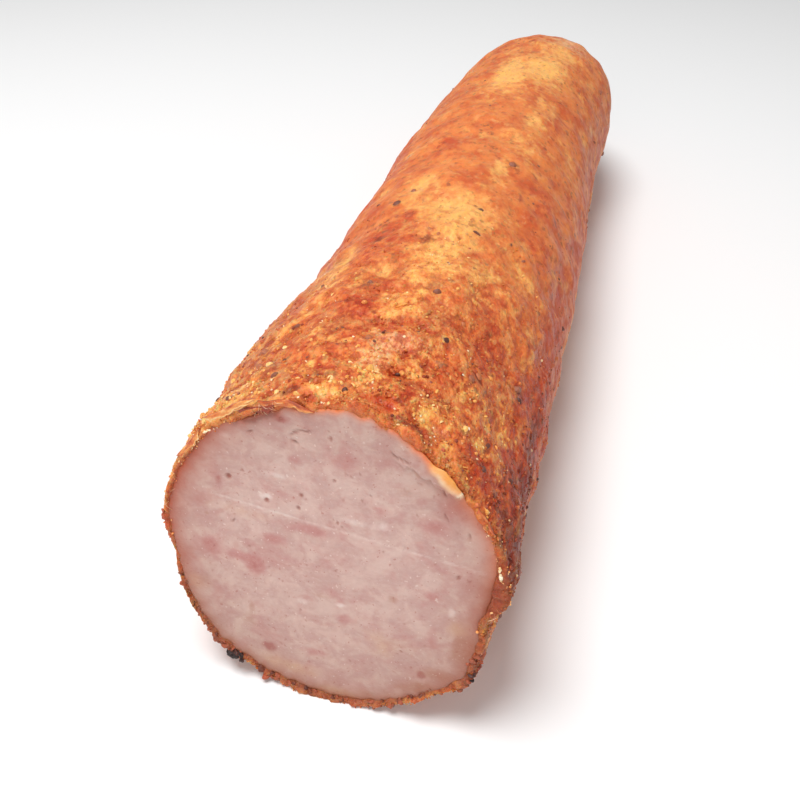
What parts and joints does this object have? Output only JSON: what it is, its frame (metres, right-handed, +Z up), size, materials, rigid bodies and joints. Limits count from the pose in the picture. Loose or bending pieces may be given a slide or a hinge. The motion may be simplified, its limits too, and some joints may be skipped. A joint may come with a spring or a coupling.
{
  "type": "grill sausage",
  "caption": "Thick straight grill sausage with a spice-crusted browned skin, cut across at one end to show pale pink meat.",
  "frame": {"origin": "on the surface it lies on, below the middle of its length and width", "axes": "+X to the right as seen from the cut, +Y along the sausage from the cut to the closed end, +Z up"},
  "size_m": [0.0515, 0.2243, 0.0504],
  "materials": {
    "crust": "rough, browned and spice-crusted, with a slight greasy shine",
    "meat": "moist, smooth cut meat with fine pores"
  },
  "bodies": {
    "root": {"sausage": "crust"}
  },
  "joints": []
}
